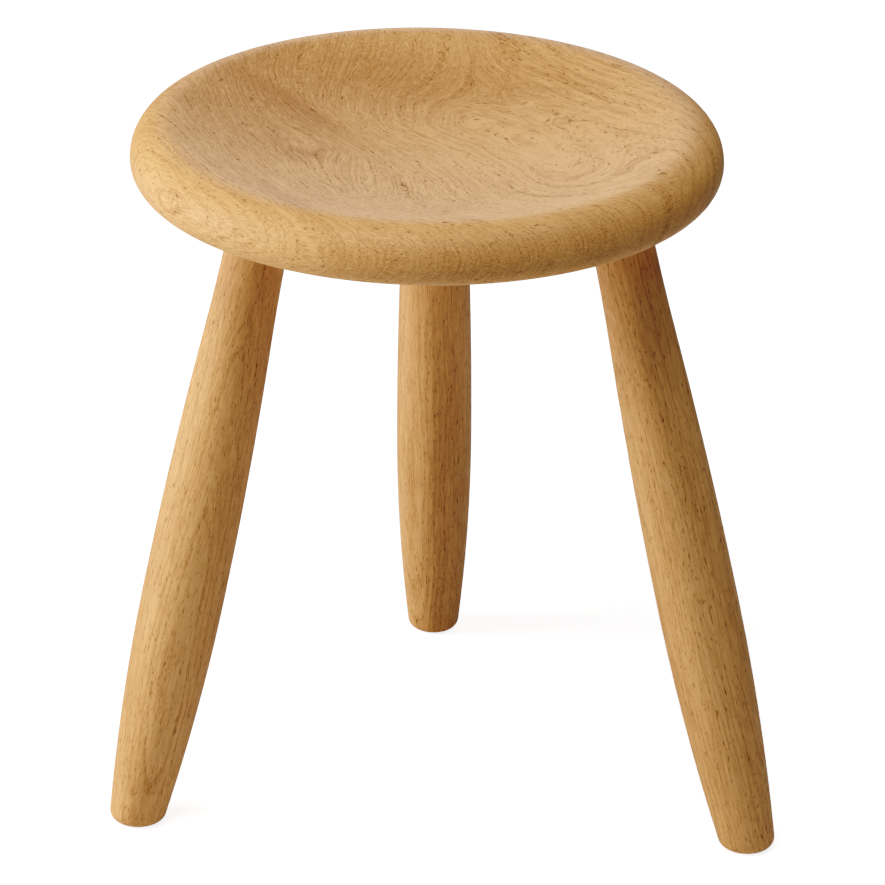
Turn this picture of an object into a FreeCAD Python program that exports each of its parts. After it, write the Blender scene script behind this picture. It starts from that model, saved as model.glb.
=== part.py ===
import FreeCAD, Part
import math
import os

import Sketcher
from FreeCAD import Vector

# A three-legged stool in solid oak: a round seat, dished on top, on three turned legs.
# Millimetres, +Z up. The origin is on the floor under the middle of the seat.
# The viewer stands on the -Y side, so +X is on the right and +Y is at the back.
# The top of each leg is a straight round tenon, glued into a blind, raked mortise in the seat.

# Driving dimensions: name, value, meaning
SIZES = [
    ("StoolHeight", 422, "floor to the crest of the seat"),
    ("SeatDiameter", 350, "across the widest part of the rim"),
    ("SeatThickness", 34, "underside to crest"),
    ("DishDepth", 18, "crest to the lowest point of the dish"),
    ("CrestRadius", 24, "round from the dish up to the crest"),
    ("CrestWidth", 1.5, "level ring on the crest"),
    ("RimRadius", 20.5, "round from the crest down to the rim's widest part"),
    ("RimBand", 0.5, "upright part of the rim, between its two rounds"),
    ("TenonDiameter", 36.5, "straight top of the leg"),
    ("TenonChamfer", 1.5, "lead on the end of the tenon"),
    ("NeckMargin", 1, "straight part of the leg that clears the underside"),
    ("NeckBlendRadius", 1500, "hollow curve from the tenon into the barrel"),
    ("BellyDrop", 246, "underside to the belly, along the leg"),
    ("FootRounding", 6.5, "edge of the foot"),
    ("MortiseRise", 1, "lowest point of the dish up to the end of the mortise"),
    ("MortiseSpare", 1, "room past the end of the tenon"),
    ("GlueGap", 0.1, "between tenon and mortise, all round"),
    ("BackAzimuth", 87.6, "degrees anticlockwise from +X"),
    ("BackInset", 61, "rim in to the leg's axis, at the underside"),
    ("BackSplay", 12.0, "degrees from upright"),
    ("BackBellyDiameter", 46.8, "thickest part of this leg"),
    ("BackFootDiameter", 30.8, "this leg at the floor, before its edge is rounded"),
    ("LeftAzimuth", 204.7, "degrees anticlockwise from +X"),
    ("LeftInset", 72, "rim in to the leg's axis, at the underside"),
    ("LeftSplay", 12.2, "degrees from upright"),
    ("LeftBellyDiameter", 49.2, "thickest part of this leg"),
    ("LeftFootDiameter", 32.4, "this leg at the floor, before its edge is rounded"),
    ("RightAzimuth", 332.8, "degrees anticlockwise from +X"),
    ("RightInset", 50, "rim in to the leg's axis, at the underside"),
    ("RightSplay", 14.2, "degrees from upright"),
    ("RightBellyDiameter", 48.4, "thickest part of this leg"),
    ("RightFootDiameter", 32.4, "this leg at the floor, before its edge is rounded"),
]

LEGS = ["Back", "Left", "Right"]

# How far a cutting section reaches past the wood that it cuts
OVERRUN = 5

# A cut that takes less than this, in cubic millimetres, has missed the wood
LEAST_CUT = 1

# How near a plane, in millimetres, every point of an edge on it lies
ON_PLANE = 1e-4

# Places on a sketch element, numbered from 1, and a sketch's own origin and axes
START, END, CENTRE = range(1, 4)
X_AXIS, Y_AXIS = range(-1, -3, -1)
ORIGIN = X_AXIS

# Lengths that follow from the driving dimensions
HALF_SEAT = "Sizes.SeatDiameter / 2"
UNDERSIDE = "(Sizes.StoolHeight - Sizes.SeatThickness)"
MORTISE_RADIUS = "(Sizes.TenonDiameter / 2 + Sizes.GlueGap)"
MORTISE_LEVEL = "(Sizes.SeatThickness - Sizes.DishDepth + Sizes.MortiseRise)"


def ring_radius(leg):
    return "(%s - Sizes.%sInset)" % (HALF_SEAT, leg)


def mortise_depth(leg):
    return "(%s / cos(Sizes.%sSplay))" % (MORTISE_LEVEL, leg)


def mortise_mouth(leg):
    """How far the mortise's section reaches below the underside, so that its raked end clears it."""
    return "(%s * tan(Sizes.%sSplay) + %d)" % (MORTISE_RADIUS, leg, OVERRUN)


def tenon_length(leg):
    return "(%s - Sizes.MortiseSpare)" % mortise_depth(leg)


def neck_reach(leg):
    """How far the straight tenon runs on below the underside, so that the barrel starts clear of it."""
    return "(Sizes.TenonDiameter / 2 * tan(Sizes.%sSplay) + Sizes.NeckMargin)" % leg


def belly_radius(leg):
    return "(Sizes.%sBellyDiameter / 2)" % leg


def foot_radius(leg):
    return "(Sizes.%sFootDiameter / 2)" % leg


def leg_length(leg):
    return "(%s / cos(Sizes.%sSplay))" % (UNDERSIDE, leg)


def blank_length(leg):
    """Underside to the end of the turned blank, which the level foot is cut from."""
    raked = "%s * tan(Sizes.%sSplay)" % (belly_radius(leg), leg)
    return "(%s + %s + %d)" % (leg_length(leg), raked, OVERRUN)


doc = FreeCAD.newDocument("Stool")
sheet = doc.addObject("Spreadsheet::Sheet", "Sizes")


def fill_sheet():
    for row, (name, value, meaning) in enumerate(SIZES, start=1):
        sheet.set("A%d" % row, name)
        sheet.set("B%d" % row, str(value))
        sheet.set("C%d" % row, meaning)
        sheet.setAlias("B%d" % row, name)
    doc.recompute()


def value(expression):
    return float(sheet.evalExpression(expression))


def new_body(name):
    body = doc.addObject("PartDesign::Body", name.title().replace("_", ""))
    body.Label = name
    return body


def new_sketch(body, name, turn=None):
    """A sketch on the upright XZ plane of its body, turned about +Z by the cell named in turn."""
    sketch = body.newObject("Sketcher::SketchObject", name)
    planes = body.Origin.OriginFeatures
    upright = next(plane for plane in planes if plane.Role == "XZ_Plane")
    sketch.AttachmentSupport = [(upright, "")]
    sketch.MapMode = "FlatFace"
    if turn:
        turned = "placement(vector(0; 0; 0); rotation(vector(0; 1; 0); Sizes.%s))" % turn
        sketch.setExpression("AttachmentOffset", turned)
    return sketch


def line(sketch, start, end):
    return sketch.addGeometry(Part.LineSegment(Vector(*start), Vector(*end)), False)


def arc(sketch, centre, radius, first, last):
    """An arc from one angle to another, anticlockwise, in degrees."""
    circle = Part.Circle(Vector(*centre), Vector(0, 0, 1), radius)
    curve = Part.ArcOfCircle(circle, math.radians(first), math.radians(last))
    return sketch.addGeometry(curve, False)


def marker(sketch, x, y):
    return sketch.addGeometry(Part.Point(Vector(x, y)), True)


def tie(sketch, kind, *places):
    sketch.addConstraint(Sketcher.Constraint(kind, *places))


def dimension(sketch, name, expression, kind, *places):
    """A named dimension of the sketch, bound to the sheet."""
    start = value(expression)
    if kind == "Angle":
        start = math.radians(start)
    index = sketch.addConstraint(Sketcher.Constraint(kind, *places, start))
    sketch.renameConstraint(index, name)
    sketch.setExpression("Constraints." + name, expression)


def revolve(body, name, sketch):
    solid = body.newObject("PartDesign::Revolution", name)
    solid.Profile = sketch
    solid.ReferenceAxis = (sketch, ["V_Axis"])
    solid.Angle = 360
    doc.recompute()


def check_removed(cut, before):
    """A cut that points away from the wood removes nothing and shows no error."""
    doc.recompute()
    if before - cut.Shape.Volume < LEAST_CUT:
        raise ValueError(cut.Name + " removed nothing")


def edge_on_plane(shape, point, normal):
    """The name of the one edge that lies on a plane all the way round."""
    for number, edge in enumerate(shape.Edges, start=1):
        spots = edge.discretize(5)
        if all(abs((spot - point).dot(normal)) < ON_PLANE for spot in spots):
            return "Edge%d" % number
    raise ValueError("no edge lies on the plane")


def seat_section(sketch):
    """Half section of the seat: dish, crest, rim with an upper and an under round, and underside."""
    half = value(HALF_SEAT)
    top = value("Sizes.SeatThickness")
    floor = top - value("Sizes.DishDepth")
    crest_r = value("Sizes.CrestRadius")
    rim_r = value("Sizes.RimRadius")
    level = value("Sizes.CrestWidth")
    under_r = top - rim_r - value("Sizes.RimBand")
    crest_x = half - rim_r - level

    sweep = 2 * math.degrees(math.atan((top - floor) / crest_x))
    dish_r = crest_x / math.sin(math.radians(sweep)) - crest_r

    dish = arc(sketch, (0, floor + dish_r), dish_r, -90, -90 + sweep)
    crest = arc(sketch, (crest_x, top - crest_r), crest_r, 90, 90 + sweep)
    ring = line(sketch, (crest_x, top), (crest_x + level, top))
    rim = arc(sketch, (half - rim_r, top - rim_r), rim_r, 0, 90)
    band = line(sketch, (half, top - rim_r), (half, under_r))
    under = arc(sketch, (half - under_r, under_r), under_r, -90, 0)
    underside = line(sketch, (half - under_r, 0), (0, 0))
    axis = line(sketch, (0, 0), (0, floor))

    tie(sketch, "Tangent", dish, END, crest, END)
    tie(sketch, "Tangent", crest, START, ring, START)
    tie(sketch, "Tangent", ring, END, rim, END)
    tie(sketch, "Tangent", rim, START, band, START)
    tie(sketch, "Tangent", band, END, under, END)
    tie(sketch, "Tangent", under, START, underside, START)
    tie(sketch, "Coincident", underside, END, ORIGIN, START)
    tie(sketch, "Coincident", axis, START, ORIGIN, START)
    tie(sketch, "Coincident", axis, END, dish, START)
    tie(sketch, "PointOnObject", axis, END, Y_AXIS)
    tie(sketch, "PointOnObject", dish, CENTRE, Y_AXIS)
    tie(sketch, "Horizontal", underside)
    tie(sketch, "Horizontal", ring)
    tie(sketch, "Vertical", band)

    from_origin = (ORIGIN, START)
    dimension(sketch, "HalfWidth", HALF_SEAT, "DistanceX", *from_origin, band, START)
    dimension(sketch, "Thickness", "Sizes.SeatThickness", "DistanceY", *from_origin, ring, START)
    dimension(sketch, "Dish", "Sizes.DishDepth", "DistanceY", axis, END, ring, START)
    dimension(sketch, "CrestRound", "Sizes.CrestRadius", "Radius", crest)
    dimension(sketch, "CrestLevel", "Sizes.CrestWidth", "Distance", ring)
    dimension(sketch, "RimRound", "Sizes.RimRadius", "Radius", rim)
    dimension(sketch, "Band", "Sizes.RimBand", "Distance", band)


def mortise_section(sketch, leg):
    """Half section of a raked blind hole. It returns the edge that is the hole's axis."""
    radius = value(MORTISE_RADIUS)
    ring = value(ring_radius(leg))
    deep = value(mortise_depth(leg))
    mouth = value(mortise_mouth(leg))
    rake = math.radians(value("Sizes.%sSplay" % leg))

    def spot(along, across):
        """A point measured up the hole's axis and square to it, towards the rim."""
        x = ring - along * math.sin(rake) + across * math.cos(rake)
        return (x, along * math.cos(rake) + across * math.sin(rake))

    axis = line(sketch, spot(-mouth, 0), spot(deep, 0))
    end = line(sketch, spot(deep, 0), spot(deep, radius))
    wall = line(sketch, spot(deep, radius), spot(-mouth, radius))
    opening = line(sketch, spot(-mouth, radius), spot(-mouth, 0))
    crossing = marker(sketch, ring, 0)

    tie(sketch, "Coincident", axis, END, end, START)
    tie(sketch, "Coincident", end, END, wall, START)
    tie(sketch, "Coincident", wall, END, opening, START)
    tie(sketch, "Coincident", opening, END, axis, START)
    tie(sketch, "Perpendicular", axis, end)
    tie(sketch, "Parallel", axis, wall)
    tie(sketch, "Parallel", end, opening)
    tie(sketch, "PointOnObject", crossing, START, axis)
    tie(sketch, "PointOnObject", crossing, START, X_AXIS)

    dimension(sketch, "Ring", ring_radius(leg), "DistanceX", ORIGIN, START, crossing, START)
    dimension(sketch, "Rake", "90 + Sizes.%sSplay" % leg, "Angle", axis)
    dimension(sketch, "Bore", MORTISE_RADIUS, "Distance", end)
    dimension(sketch, "Depth", mortise_depth(leg), "Distance", crossing, START, axis, END)
    dimension(sketch, "Mouth", mortise_mouth(leg), "Distance", crossing, START, axis, START)
    return "Edge%d" % (axis + 1)


def leg_section(sketch, leg):
    """Half section of a turned leg: tenon, hollow neck and barrel, with the underside at 0."""
    tenon_r = value("Sizes.TenonDiameter") / 2
    top = value(tenon_length(leg))
    neck = -value(neck_reach(leg))
    blend_r = value("Sizes.NeckBlendRadius")
    belly_r = value(belly_radius(leg))
    belly = -value("Sizes.BellyDrop")
    foot_r = value(foot_radius(leg))
    floor = -value(leg_length(leg))
    bottom = -value(blank_length(leg))

    swell = belly_r - tenon_r
    upper_r = (swell**2 + (neck - belly) ** 2) / (2 * swell) - blend_r
    sweep = math.degrees(math.asin((neck - belly) / (upper_r + blend_r)))
    taper = belly_r - foot_r
    lower_r = (taper**2 + (belly - floor) ** 2) / (2 * taper)
    low = math.degrees(math.asin((bottom - belly) / lower_r))
    bottom_r = belly_r - lower_r * (1 - math.cos(math.radians(low)))

    end = line(sketch, (0, top), (tenon_r, top))
    tenon = line(sketch, (tenon_r, top), (tenon_r, neck))
    blend = arc(sketch, (tenon_r + blend_r, neck), blend_r, 180, 180 + sweep)
    upper = arc(sketch, (belly_r - upper_r, belly), upper_r, 0, sweep)
    lower = arc(sketch, (belly_r - lower_r, belly), lower_r, low, 0)
    base = line(sketch, (bottom_r, bottom), (0, bottom))
    axis = line(sketch, (0, bottom), (0, top))
    foot = marker(sketch, foot_r, floor)

    tie(sketch, "Coincident", axis, END, end, START)
    tie(sketch, "Coincident", end, END, tenon, START)
    tie(sketch, "Tangent", tenon, END, blend, START)
    tie(sketch, "Tangent", blend, END, upper, END)
    tie(sketch, "Tangent", upper, START, lower, END)
    tie(sketch, "Coincident", lower, START, base, START)
    tie(sketch, "Coincident", base, END, axis, START)
    tie(sketch, "PointOnObject", axis, START, Y_AXIS)
    tie(sketch, "PointOnObject", axis, END, Y_AXIS)
    tie(sketch, "Horizontal", end)
    tie(sketch, "Vertical", tenon)
    tie(sketch, "Horizontal", base)
    tie(sketch, "Horizontal", upper, CENTRE, upper, START)
    tie(sketch, "PointOnObject", foot, START, lower)

    from_origin = (ORIGIN, START)
    dimension(sketch, "TenonTop", tenon_length(leg), "DistanceY", *from_origin, axis, END)
    dimension(sketch, "TenonHalf", "Sizes.TenonDiameter / 2", "DistanceX", *from_origin, tenon, START)
    dimension(sketch, "NeckReach", neck_reach(leg), "DistanceY", tenon, END, *from_origin)
    dimension(sketch, "NeckBlend", "Sizes.NeckBlendRadius", "Radius", blend)
    dimension(sketch, "BellyHalf", belly_radius(leg), "DistanceX", *from_origin, upper, START)
    dimension(sketch, "Belly", "Sizes.BellyDrop", "DistanceY", upper, START, *from_origin)
    dimension(sketch, "FootHalf", foot_radius(leg), "DistanceX", *from_origin, foot, START)
    dimension(sketch, "Floor", leg_length(leg), "DistanceY", foot, START, *from_origin)
    dimension(sketch, "Blank", blank_length(leg), "DistanceY", base, END, *from_origin)


def waste_section(sketch, leg):
    """Side view of the wood below the floor, whose upper edge is raked against the leg's axis."""
    across = "Sizes.%sBellyDiameter" % leg
    reach = value(across)
    floor = -value(leg_length(leg))
    fall = reach * math.tan(math.radians(value("Sizes.%sSplay" % leg)))
    bottom = -value(blank_length(leg)) - OVERRUN

    level = line(sketch, (-reach, floor + fall), (reach, floor - fall))
    outer = line(sketch, (reach, floor - fall), (reach, bottom))
    base = line(sketch, (reach, bottom), (-reach, bottom))
    inner = line(sketch, (-reach, bottom), (-reach, floor + fall))
    crossing = marker(sketch, 0, floor)

    tie(sketch, "Coincident", level, END, outer, START)
    tie(sketch, "Coincident", outer, END, base, START)
    tie(sketch, "Coincident", base, END, inner, START)
    tie(sketch, "Coincident", inner, END, level, START)
    tie(sketch, "Vertical", outer)
    tie(sketch, "Vertical", inner)
    tie(sketch, "Horizontal", base)
    tie(sketch, "PointOnObject", crossing, START, level)
    tie(sketch, "PointOnObject", crossing, START, Y_AXIS)

    from_origin = (ORIGIN, START)
    dimension(sketch, "Floor", leg_length(leg), "DistanceY", crossing, START, *from_origin)
    dimension(sketch, "Level", "-Sizes.%sSplay" % leg, "Angle", level)
    dimension(sketch, "OuterReach", across, "DistanceX", *from_origin, outer, START)
    dimension(sketch, "InnerReach", across, "DistanceX", inner, END, *from_origin)
    below = "%s + %d" % (blank_length(leg), OVERRUN)
    dimension(sketch, "Below", below, "DistanceY", base, START, *from_origin)


def make_seat():
    body = new_body("seat")
    section = new_sketch(body, "SeatSection")
    seat_section(section)
    revolve(body, "SeatBlank", section)
    for leg in LEGS:
        before = body.Tip.Shape.Volume
        section = new_sketch(body, leg + "MortiseSection", turn=leg + "Azimuth")
        axis = mortise_section(section, leg)
        hole = body.newObject("PartDesign::Groove", leg + "Mortise")
        hole.Profile = section
        hole.ReferenceAxis = (section, [axis])
        hole.Angle = 360
        check_removed(hole, before)
    body.setExpression("Placement", "placement(vector(0; 0; %s); rotation(0; 0; 0))" % UNDERSIDE)
    return body


def make_leg(leg):
    """One leg, built upright with its outward side on +X, then raked and swung to its place."""
    body = new_body(leg.lower() + "_leg")
    section = new_sketch(body, leg + "LegSection")
    leg_section(section, leg)
    revolve(body, leg + "Blank", section)

    before = body.Tip.Shape.Volume
    section = new_sketch(body, leg + "WasteSection")
    waste_section(section, leg)
    cut = body.newObject("PartDesign::Pocket", leg + "LevelFoot")
    cut.Profile = section
    cut.SideType = "Symmetric"
    cut.setExpression("Length", "2 * Sizes.%sBellyDiameter" % leg)
    check_removed(cut, before)

    splay = math.radians(value("Sizes.%sSplay" % leg))
    sole = Vector(0, 0, -value(leg_length(leg)))
    rounding = body.newObject("PartDesign::Fillet", leg + "FootEdge")
    level = Vector(math.sin(splay), 0, math.cos(splay))
    rounding.Base = (cut, [edge_on_plane(cut.Shape, sole, level)])
    rounding.setExpression("Radius", "Sizes.FootRounding")
    check_removed(rounding, cut.Shape.Volume)

    tip = Vector(0, 0, value(tenon_length(leg)))
    lead = body.newObject("PartDesign::Chamfer", leg + "TenonLead")
    lead.Base = (rounding, [edge_on_plane(rounding.Shape, tip, Vector(0, 0, 1))])
    lead.setExpression("Size", "Sizes.TenonChamfer")
    check_removed(lead, rounding.Shape.Volume)

    azimuth = "Sizes.%sAzimuth" % leg
    ring = ring_radius(leg)
    foot_of_axis = "vector(%s * cos(%s); %s * sin(%s); %s)" % (ring, azimuth, ring, azimuth, UNDERSIDE)
    raked = "rotation(%s; -Sizes.%sSplay; 0)" % (azimuth, leg)
    body.setExpression("Placement", "placement(%s; %s)" % (foot_of_axis, raked))
    return body


def check_and_export(bodies):
    doc.recompute()
    for item in doc.Objects:
        if "Invalid" in item.State or "Error" in item.State:
            raise ValueError("%s did not compute: %s" % (item.Name, item.State))
    for body in bodies:
        shape = body.Shape
        if shape.isNull() or not shape.isValid() or len(shape.Solids) != 1:
            raise ValueError(body.Label + " is not one valid solid")
    os.makedirs("parts", exist_ok=True)
    for body in bodies:
        body.Shape.exportStep(os.path.join("parts", body.Label + ".step"))
        print("%s: %.0f cubic millimetres" % (body.Label, body.Shape.Volume))


fill_sheet()
seat = make_seat()
legs = [make_leg(leg) for leg in LEGS]
check_and_export([seat] + legs)
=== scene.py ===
import math

import bpy
from mathutils import Matrix, Vector


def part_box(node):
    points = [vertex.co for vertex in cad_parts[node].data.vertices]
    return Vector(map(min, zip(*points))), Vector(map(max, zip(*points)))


# Metres, +Z up, the origin on the floor under the middle of the seat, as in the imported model.
# The wood is worked out in millimetres, in the same frame. Scales of noise are per millimetre.

AIM_HEIGHT = 0.213
MILLIMETRES = 1000
WHITE = (1, 1, 1, 1)

# Nearly all noise lies between these two values.
NOISE_LOW = 0.3
NOISE_HIGH = 0.7

# A reach so long that a mound over a point is the same at every height.
ENDLESS = 1e6

# The camera stands in front of the stool and looks at its middle from above, from far away.
# These six values were fitted to the photograph's outline by a program. The lens is in mm.
CAMERA_ELEVATION = 24.354
CAMERA_DISTANCE = 4.0126
CAMERA_LENS = 271.89
CAMERA_YAW = -0.167
CAMERA_PITCH = 0.041
CAMERA_ROLL = -0.799

# The width of the camera's sensor in mm, and how far the camera sees in metres.
CAMERA_SENSOR = 36
CAMERA_CLIP = 100

# The sheets of yearly growth in the seat's block, seen from above. They climb in one direction,
# and each bulge bends them: place, reach across and along it, its turn in degrees, and its height.
# The direction and the bulges are a program's least-squares fit to grain directions measured in
# the photograph, rounded. The tilt is how fast the growth climbs with height.
GROWTH_DIRECTION = 37
GROWTH_TILT = -0.45
SEAT_BULGES = [
    (48, 0, 37.5, 48, 65, 40.7),
    (-19, -57, 43, 26, 141, -24.5),
    (-32, -11, 71, 29, 7, -18.1),
    (-38, 33, 57, 71, 149, 87),
    (41, -100, 58, 85, 81, 117),
    (-60, 12, 35, 16, 128, -43.7),
]

# The seat's fibres run level, from the back left to the front right.
SEAT_FIBRE = -60

# A year's growth in the seat, and the extra years between two heights that make the closed eye.
SEAT_YEAR = 4.2
EYE_YEARS = 9
EYE_HEIGHTS = (98, 123.5)

# Places on the seat, seen from above: x, y, reach along and across, turn in degrees, strength.
CURLY_PATCH = (-25, 92, 62, 34, 0, 0.9)
SEAT_MARKS = [
    (-25, 95, 70, 32, 0, 0.4),
    (-75, 51, 34, 4, -49, 0.4),
    (-95, 62, 30, 6, -49, 0.25),
    (-67, -18, 11, 4, -20, 0.35),
    (-14, -65, 34, 3, -68, 0.25),
    (-74, -126, 32, 4, -58, 0.3),
    (100, 77, 12, 5, -40, 0.25),
    (-110, 20, 50, 34, -60, 0.45),
]

# A year's growth in the legs, and for each leg how far off the log's heart lies, sideways and
# forwards, and how much the leg leans across the growth.
LEG_YEAR = 2.9
LEG_HEARTS = {
    "back_leg": (34, 46, 0.01),
    "left_leg": (60, -18, 0.03),
    "right_leg": (-26, 30, -0.05),
}

# How near a leg's ends, in metres, the points lie whose middle is that end of its axis.
END_REACH = 0.02

PALE_OAK = (0.8, 0.41, 0.158, 1)
DARK_OAK = (0.46, 0.198, 0.058, 1)
PORE_OAK = (0.22, 0.085, 0.022, 1)

# The band of a year's growth: how dark it is at parts of the year, and the palest year's share.
YEAR_BAND = [(0.0, 0.85), (0.1, 1.0), (0.34, 0.25), (0.7, 0.0), (0.93, 0.3), (1.0, 0.85)]
PALEST_YEAR = 0.2

# The least climb per millimetre that the growth is taken to have, so that no year is endless,
# and how far the noise moves from one year to the next.
LEAST_CLIMB = 0.08
YEAR_SHIFT = 7.31

# Streaks: how many to a year's growth, and their scales along and round the fibres.
YEAR_STREAKS = 2.3
STREAK_ALONG = 0.012
STREAK_ROUND = 0.08

# Pores: scales across and along the fibres, the noise above which one opens, how much a band and
# a streak lower that, the width of a pore's edge, and how far its colour covers the wood.
PORE_ACROSS = 1.45
PORE_ALONG = 0.2
PORE_LIMIT = 0.67
BAND_PORES = -0.08
STREAK_PORES = -0.05
PORE_EDGE = 0.08
PORE_COVER = 0.8

FIBRE_ACROSS = 1.2
FIBRE_ALONG = 0.06

# How much each part of the figure darkens the wood, and the tone that it starts from.
BAND_DEPTH = 0.3
STREAK_DEPTH = 0.34
FIBRE_DEPTH = 1.6
FIRST_DEPTH = -0.06

# Gloss, and how much rougher pores and fibres make it.
ROUGHNESS = 0.58
PORE_ROUGHNESS = 0.25
FIBRE_ROUGHNESS = 0.2
SPECULAR = 0.25

# Relief: how high fibres, bands and pores stand, as shares of its height in metres.
FIBRE_RELIEF = 0.35
BAND_RELIEF = -0.2
PORE_RELIEF = -0.8
RELIEF_STRENGTH = 0.55
RELIEF_HEIGHT = 0.00011

# How the seat's growth wanders, as scale and reach, and how its years vary in width.
SEAT_WOBBLE = (0.03, 6)
SEAT_RIPPLE = (0.16, 1.6)
WIDTH_SCALE = 0.06
WIDTH_CHANGE = 3.0

# End grain: how square to the fibres the surface is where it starts and is whole, the scale and
# twist of its short curved strokes, half their width in noise, how much they lighten the fibres,
# the share of the streaks that stays, and how much darker it all is.
END_GRAIN = (0.45, 0.85)
STROKE_SCALE = 0.42
STROKE_TWIST = 1.5
STROKE_WIDTH = 0.06
STROKE_LIGHT = -0.3
END_STREAKS = 0.4
END_TONE = 0.45

# Broad patches of tone on the seat and the legs: scale, then the palest and the darkest.
SEAT_PATCHES = (0.018, 0.0, 0.16)
LEG_PATCHES = (0.05, 0.05, 0.4)

# How the legs' growth wanders, as scale and reach, and how much it and the patches are drawn out.
LEG_WOBBLE = (0.045, 8)
WOBBLE_STRETCH = (1, 1, 0.2)
PATCH_STRETCH = (1, 1, 0.12)

# Every light is a white disc, this wide and this far from the middle of the stool.
LIGHT_WIDTH = 1.2
LIGHT_DISTANCE = 2.2

# Lights: name, azimuth and elevation in degrees, watts. Their directions follow a program's fit
# to the photograph's shading, and their watts are listed.
LIGHTS = [
    ("key", 184, 16, 50),
    ("top", 236, 65, 29),
    ("back", 90, 15, 13),
    ("side", 0, 65, 9),
]

FLOOR_WIDTH = 12
FLOOR_PAINT = (0.9, 0.9, 0.9, 1)
FLOOR_ROUGHNESS = 0.9

# The brightness that shows as white, how bright the floor looks by itself, and for some
# brightnesses between how bright they show. A program sampled these from a film-like formula.
FLOOR_WHITE = 1.7
FLOOR_GLOW = 1.3
FILM_CURVE = [(0.05, 0.028), (0.1, 0.085), (0.2, 0.199), (0.4, 0.388), (0.7, 0.596), (1, 0.75)]


class Graph:
    """Adds nodes to one tree and hands back their output sockets."""

    def __init__(self, tree):
        self.tree = tree

    def node(self, kind, *inputs, **settings):
        made = self.tree.nodes.new("ShaderNode" + kind)
        for name, setting in settings.items():
            setattr(made, name, setting)
        for place, given in enumerate(inputs):
            self.feed(made.inputs[place], given)
        return made

    def feed(self, socket, given):
        if given is None:
            return
        if isinstance(given, bpy.types.NodeSocket):
            self.tree.links.new(given, socket)
        else:
            socket.default_value = given

    def math(self, operation, *inputs, clamp=False):
        return self.node("Math", *inputs, operation=operation, use_clamp=clamp).outputs[0]

    def add(self, *terms):
        total = terms[0]
        for term in terms[1:]:
            total = self.math("ADD", total, term)
        return total

    def times(self, *factors):
        product = factors[0]
        for factor in factors[1:]:
            product = self.math("MULTIPLY", product, factor)
        return product

    def vector(self, operation, *inputs):
        made = self.node("VectorMath", *inputs, operation=operation)
        return made.outputs["Value" if operation in ("DOT_PRODUCT", "LENGTH") else "Vector"]

    def scaled(self, vector, factor):
        made = self.node("VectorMath", vector, operation="SCALE")
        self.feed(made.inputs["Scale"], factor)
        return made.outputs["Vector"]

    def combine(self, x, y, z):
        return self.node("CombineXYZ", x, y, z).outputs[0]

    def split(self, vector):
        return self.node("SeparateXYZ", vector).outputs

    def remap(self, given, low, high, to_low=0.0, to_high=1.0, smooth=True):
        made = self.node("MapRange", interpolation_type="SMOOTHSTEP" if smooth else "LINEAR")
        for place, setting in enumerate((given, low, high, to_low, to_high)):
            self.feed(made.inputs[place], setting)
        return made.outputs[0]

    def noise(self, vector, scale, detail=2.0, roughness=0.5, distortion=0.0, colour=False):
        made = self.node("TexNoise", noise_dimensions="3D")
        self.feed(made.inputs["Vector"], vector)
        made.inputs["Scale"].default_value = scale
        made.inputs["Detail"].default_value = detail
        made.inputs["Roughness"].default_value = roughness
        made.inputs["Distortion"].default_value = distortion
        return made.outputs["Color" if colour else "Fac"]

    def noise_line(self, given, scale, detail=1.0):
        made = self.node("TexNoise", noise_dimensions="1D")
        self.feed(made.inputs["W"], given)
        made.inputs["Scale"].default_value = scale
        made.inputs["Detail"].default_value = detail
        return made.outputs["Fac"]

    def chance(self, given):
        made = self.node("TexWhiteNoise", noise_dimensions="1D")
        self.feed(made.inputs["W"], given)
        return made.outputs["Value"]

    def blob(self, point, x, y, reach_x, reach_y, turn, height=1.0):
        """A soft upright mound over a point, its value, and its place in the mound's own axes."""
        placed = self.node("Mapping", point, vector_type="TEXTURE")
        placed.inputs["Location"].default_value = (x, y, 0)
        placed.inputs["Rotation"].default_value = (0, 0, math.radians(turn))
        placed.inputs["Scale"].default_value = (reach_x, reach_y, ENDLESS)
        own = placed.outputs[0]
        fall = self.math("POWER", math.exp(-0.5), self.vector("DOT_PRODUCT", own, own))
        return self.times(fall, height), own

    def mix(self, factor, first, second):
        made = self.node("Mix", data_type="RGBA")
        self.feed(made.inputs[0], factor)
        self.feed(made.inputs[6], first)
        self.feed(made.inputs[7], second)
        return made.outputs[2]

    def ramp(self, given, stops):
        made = self.node("ValToRGB", given)
        elements = made.color_ramp.elements
        while len(elements) < len(stops):
            elements.new(0.5)
        for element, (position, level) in zip(elements, stops):
            element.position = position
            element.color = (level, level, level, 1)
        return made.outputs[0]


def add_camera():
    elevation = math.radians(CAMERA_ELEVATION)
    data = bpy.data.cameras.new("camera")
    data.sensor_width = CAMERA_SENSOR
    data.lens = CAMERA_LENS
    data.clip_end = CAMERA_CLIP
    camera = bpy.data.objects.new("camera", data)
    bpy.context.scene.collection.objects.link(camera)
    back = Vector((0, -math.cos(elevation), math.sin(elevation)))
    place = Vector((0, 0, AIM_HEIGHT)) + back * CAMERA_DISTANCE
    aim = Matrix.Translation(place) @ Matrix.Rotation(math.radians(90) - elevation, 4, "X")
    for degrees, axis in ((CAMERA_YAW, "Y"), (CAMERA_PITCH, "X"), (-CAMERA_ROLL, "Z")):
        aim = aim @ Matrix.Rotation(math.radians(degrees), 4, axis)
    camera.matrix_world = aim
    bpy.context.scene.camera = camera


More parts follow.
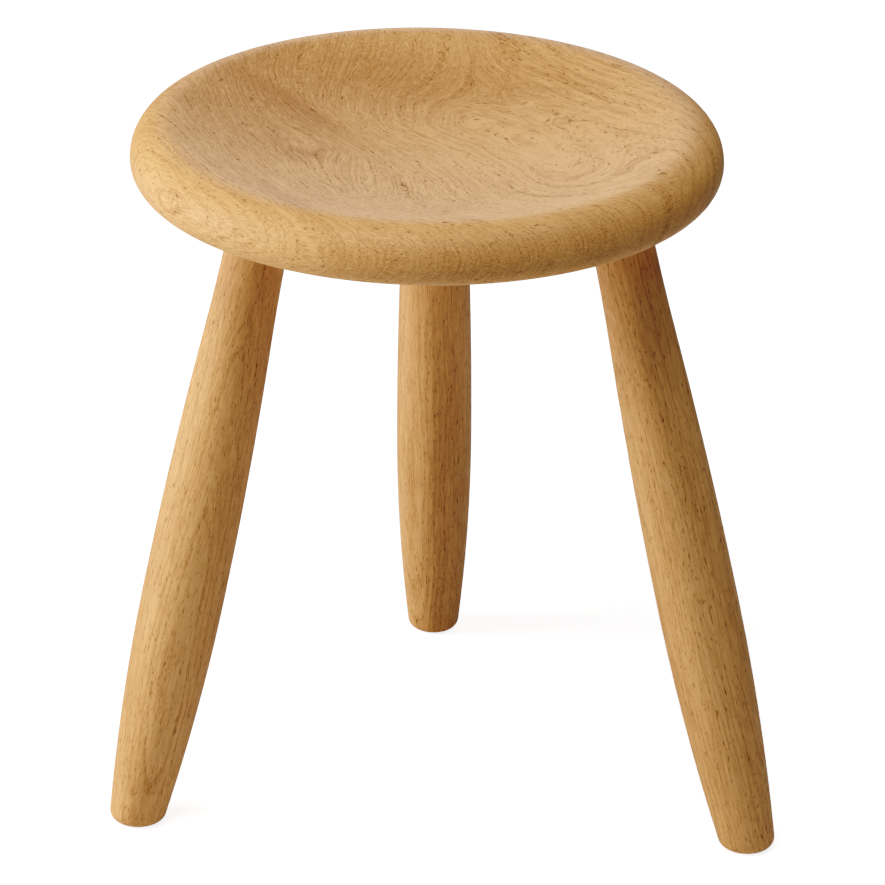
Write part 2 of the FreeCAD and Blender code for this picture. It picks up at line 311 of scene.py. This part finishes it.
def area_light(name, azimuth, elevation, watts):
    data = bpy.data.lights.new(name, "AREA")
    data.shape = "DISK"
    data.size = LIGHT_WIDTH
    data.energy = watts
    light = bpy.data.objects.new(name, data)
    bpy.context.scene.collection.objects.link(light)
    a, e = math.radians(azimuth), math.radians(elevation)
    target = Vector((0, 0, AIM_HEIGHT))
    away = Vector((math.cos(a) * math.cos(e), math.sin(a) * math.cos(e), math.sin(e)))
    light.location = target + away * LIGHT_DISTANCE
    light.rotation_euler = away.to_track_quat("Z", "Y").to_euler()


def set_world():
    """White to the camera, and no light of its own on the stool."""
    world = bpy.data.worlds.new("studio")
    bpy.context.scene.world = world
    world.use_nodes = True
    graph = Graph(world.node_tree)
    shown = graph.node("LightPath").outputs["Is Camera Ray"]
    backdrop = world.node_tree.nodes["Background"]
    backdrop.inputs["Color"].default_value = WHITE
    graph.feed(backdrop.inputs["Strength"], graph.times(shown, FLOOR_WHITE))


def set_film_curve():
    """The photograph's tones: deeper and warmer shadows, gently rolled-off lights."""
    view = bpy.context.scene.view_settings
    view.view_transform = "Standard"
    view.use_curve_mapping = True
    view.curve_mapping.white_level = [FLOOR_WHITE] * 3
    curve = view.curve_mapping.curves[3]
    for light, shown in FILM_CURVE:
        curve.points.new(light / FLOOR_WHITE, shown)
    view.curve_mapping.update()


def add_floor():
    bpy.ops.mesh.primitive_plane_add(size=FLOOR_WIDTH, location=(0, 0, 0))
    floor = bpy.context.object
    floor.name = "floor"
    material = bpy.data.materials.new("floor")
    material.use_nodes = True
    graph = Graph(material.node_tree)
    shader = material.node_tree.nodes["Principled BSDF"]
    shader.inputs["Base Color"].default_value = FLOOR_PAINT
    shader.inputs["Roughness"].default_value = FLOOR_ROUGHNESS
    shader.inputs["Emission Color"].default_value = WHITE
    shown = graph.node("LightPath").outputs["Is Camera Ray"]
    graph.feed(shader.inputs["Emission Strength"], graph.times(shown, FLOOR_GLOW))
    floor.data.materials.append(material)


def new_wood(name):
    material = bpy.data.materials.new(name)
    material.use_nodes = True
    graph = Graph(material.node_tree)
    place = graph.node("TexCoord").outputs["Object"]
    return material, graph, graph.scaled(place, MILLIMETRES)


def seat_growth(graph, point):
    """Growth height in the seat's block, and how fast it climbs across the top."""
    direction = math.radians(GROWTH_DIRECTION)
    uphill = (math.cos(direction), math.sin(direction), 0)
    height = graph.vector("DOT_PRODUCT", point, (*uphill[:2], GROWTH_TILT))
    slope = uphill
    for x, y, reach_x, reach_y, turn, rise in SEAT_BULGES:
        mound, own = graph.blob(point, x, y, reach_x, reach_y, turn, rise)
        height = graph.add(height, mound)
        back = graph.node("Mapping", own, vector_type="POINT")
        back.inputs["Rotation"].default_value = (0, 0, math.radians(turn))
        back.inputs["Scale"].default_value = (1 / reach_x, 1 / reach_y, 0)
        downhill = graph.scaled(back.outputs[0], mound)
        slope = graph.vector("SUBTRACT", slope, downhill)
    return height, graph.vector("LENGTH", slope)


def wood_grain(graph, phase, rate, along, third):
    """The wood's figure from its growth count, the count's climb per millimetre, the way along the
    fibres and a third way: a band per year, streaks, pores and fibres."""
    year = graph.math("FLOOR", phase)
    part = graph.math("FRACT", phase)
    # Distance from the middle of the year's growth, in millimetres
    from_middle = graph.math("SUBTRACT", part, 0.5)
    across = graph.math("DIVIDE", from_middle, graph.math("MAXIMUM", rate, LEAST_CLIMB))
    shift = graph.times(year, YEAR_SHIFT)
    band = graph.ramp(part, YEAR_BAND)
    band = graph.times(band, graph.remap(graph.chance(year), 0, 1, PALEST_YEAR, 1.0, smooth=False))

    streak_place = graph.combine(
        graph.times(phase, YEAR_STREAKS),
        graph.times(along, STREAK_ALONG),
        graph.times(third, STREAK_ROUND),
    )
    streaks = graph.noise(streak_place, 1.0, detail=3.0, roughness=0.6)
    streaks = graph.remap(streaks, NOISE_LOW, NOISE_HIGH, 0.0, 1.0, smooth=False)

    pore_place = graph.combine(
        graph.times(across, PORE_ACROSS),
        graph.times(along, PORE_ALONG),
        graph.add(graph.times(third, PORE_ACROSS), shift),
    )
    pores = graph.noise(pore_place, 1.0, detail=1.0)
    limit = graph.add(PORE_LIMIT, graph.times(band, BAND_PORES), graph.times(streaks, STREAK_PORES))
    pores = graph.remap(graph.math("SUBTRACT", pores, limit), 0.0, PORE_EDGE)

    fibre_place = graph.combine(
        graph.times(across, FIBRE_ACROSS),
        graph.times(along, FIBRE_ALONG),
        graph.add(graph.times(third, FIBRE_ACROSS), shift),
    )
    fibres = graph.noise(fibre_place, 1.0, detail=2.0)
    return band, streaks, pores, fibres


def finish_wood(graph, material, figure, tone):
    """Colours, gloss and relief from the wood's figure. Tone runs from 0, pale, to 1, dark."""
    band, streaks, pores, fibres = figure
    grain = graph.math("SUBTRACT", fibres, 0.5)
    depth = graph.add(
        tone,
        graph.times(band, BAND_DEPTH),
        graph.times(streaks, STREAK_DEPTH),
        graph.times(grain, FIBRE_DEPTH),
    )
    colour = graph.mix(graph.math("ADD", depth, FIRST_DEPTH, clamp=True), PALE_OAK, DARK_OAK)
    colour = graph.mix(graph.times(pores, PORE_COVER), colour, PORE_OAK)
    shader = material.node_tree.nodes["Principled BSDF"]
    graph.feed(shader.inputs["Base Color"], colour)
    rough = graph.add(
        ROUGHNESS,
        graph.times(pores, PORE_ROUGHNESS),
        graph.times(grain, FIBRE_ROUGHNESS),
    )
    graph.feed(shader.inputs["Roughness"], rough)
    shader.inputs["Specular IOR Level"].default_value = SPECULAR
    relief = graph.add(
        graph.times(fibres, FIBRE_RELIEF),
        graph.times(band, BAND_RELIEF),
        graph.times(pores, PORE_RELIEF),
    )
    bump = graph.node("Bump")
    bump.inputs["Strength"].default_value = RELIEF_STRENGTH
    bump.inputs["Distance"].default_value = RELIEF_HEIGHT
    graph.feed(bump.inputs["Height"], relief)
    graph.feed(shader.inputs["Normal"], bump.outputs[0])


def centred(graph, vector, reach):
    """Noise from 0 to 1 made into a push of up to half the reach, either way."""
    return graph.scaled(graph.vector("SUBTRACT", vector, (0.5, 0.5, 0.5)), reach)


def patches(graph, point, scale, palest, darkest):
    """Broad soft patches of tone."""
    cloud = graph.noise(point, scale, detail=2.0)
    return graph.remap(cloud, NOISE_LOW, NOISE_HIGH, palest, darkest)


def seat_years(graph, bent):
    """The seat's growth count, and its climb per millimetre. The years crowd in the closed eye."""
    height, climb = seat_growth(graph, bent)
    low, high = EYE_HEIGHTS
    crowd = graph.remap(height, low, high, smooth=False)
    extra = graph.times(graph.remap(height, low, high), EYE_YEARS)
    varying = graph.math("SUBTRACT", graph.noise_line(height, WIDTH_SCALE), 0.5)
    wide = graph.times(varying, WIDTH_CHANGE)
    phase = graph.add(graph.math("DIVIDE", height, SEAT_YEAR), extra, wide)
    # How fast the extra years come in between the eye's two heights
    steep = graph.times(crowd, graph.math("SUBTRACT", 1.0, crowd), 6 * EYE_YEARS / (high - low))
    rate = graph.times(climb, graph.add(1 / SEAT_YEAR, steep))
    return phase, rate


def end_grain(graph, point, fibre):
    """How much end grain shows, where the rim turns square to the fibres and on one patch at the
    back, and its short curved strokes."""
    normal = graph.node("NewGeometry").outputs["Normal"]
    facing = graph.math("ABSOLUTE", graph.vector("DOT_PRODUCT", normal, fibre))
    patch = graph.blob(point, *CURLY_PATCH)[0]
    curly = graph.math("ADD", graph.remap(facing, *END_GRAIN), patch, clamp=True)
    strokes = graph.noise(point, STROKE_SCALE, detail=1.0, distortion=STROKE_TWIST)
    strokes = graph.math("ABSOLUTE", graph.math("SUBTRACT", strokes, 0.5))
    return curly, graph.remap(strokes, 0.0, STROKE_WIDTH, 1.0, 0.0)


def seat_oak():
    material, graph, point = new_wood("seat_oak")
    scale, reach = SEAT_WOBBLE
    wobble = graph.noise(point, scale, detail=1.0, colour=True)
    bent = graph.vector("ADD", point, centred(graph, wobble, reach))
    scale, reach = SEAT_RIPPLE
    ripple = graph.noise(point, scale, detail=2.0, colour=True)
    bent = graph.vector("ADD", bent, centred(graph, ripple, reach))
    phase, rate = seat_years(graph, bent)
    turn = math.radians(SEAT_FIBRE)
    fibre = (math.cos(turn), math.sin(turn), 0)
    along = graph.vector("DOT_PRODUCT", bent, fibre)
    band, streaks, pores, fibres = wood_grain(graph, phase, rate, along, graph.split(bent)[2])

    curly, strokes = end_grain(graph, point, fibre)
    fibres = graph.add(fibres, graph.times(strokes, curly, STROKE_LIGHT))
    streaks = graph.times(streaks, graph.remap(curly, 0, 1, 1.0, END_STREAKS))

    tone = graph.add(patches(graph, point, *SEAT_PATCHES), graph.times(curly, END_TONE))
    for mark in SEAT_MARKS:
        tone = graph.add(tone, graph.blob(bent, *mark)[0])
    finish_wood(graph, material, (band, streaks, pores, fibres), tone)
    return material


def leg_oak(name, node):
    """Straight grain along the leg. The log's heart lies outside it, to one side."""
    material, graph, point = new_wood(name)
    points = [vertex.co for vertex in node.data.vertices]
    low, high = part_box(node.name)
    ends = []
    for level in (low.z, high.z):
        near = [p for p in points if abs(p.z - level) < END_REACH]
        ends.append(sum(near, Vector()) / len(near))
    swing = (ends[1] - ends[0]).to_track_quat("Z", "Y").to_euler()
    own = graph.node("Mapping", point, vector_type="TEXTURE")
    own.inputs["Location"].default_value = ends[0] * MILLIMETRES
    own.inputs["Rotation"].default_value = swing
    own = own.outputs[0]
    scale, reach = LEG_WOBBLE
    stretched = graph.vector("MULTIPLY", own, WOBBLE_STRETCH)
    wobble = graph.noise(stretched, scale, detail=2.0, colour=True)
    bent = graph.vector("ADD", own, centred(graph, wobble, reach))
    x, y, z = graph.split(bent)
    heart_x, heart_y, lean = LEG_HEARTS[node.name]
    side = graph.add(x, heart_x, graph.times(z, lean))
    front = graph.add(y, heart_y)
    height = graph.vector("LENGTH", graph.combine(side, front, 0.0))
    phase = graph.math("DIVIDE", height, LEG_YEAR)
    third = graph.times(graph.math("ARCTAN2", side, front), math.hypot(heart_x, heart_y))
    figure = wood_grain(graph, phase, 1 / LEG_YEAR, z, third)
    tone = patches(graph, graph.vector("MULTIPLY", own, PATCH_STRETCH), *LEG_PATCHES)
    finish_wood(graph, material, figure, tone)
    return material


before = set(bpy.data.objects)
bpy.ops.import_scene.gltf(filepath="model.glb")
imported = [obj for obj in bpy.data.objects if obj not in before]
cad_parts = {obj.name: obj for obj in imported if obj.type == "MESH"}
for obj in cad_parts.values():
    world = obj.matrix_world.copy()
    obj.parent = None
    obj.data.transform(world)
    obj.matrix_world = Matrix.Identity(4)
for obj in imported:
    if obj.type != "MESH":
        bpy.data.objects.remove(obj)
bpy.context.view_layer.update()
set_film_curve()
add_camera()
set_world()
for light in LIGHTS:
    area_light(*light)
add_floor()
for name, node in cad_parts.items():
    node.data.materials.clear()
    node.data.materials.append(seat_oak() if name == "seat" else leg_oak(name + "_oak", node))
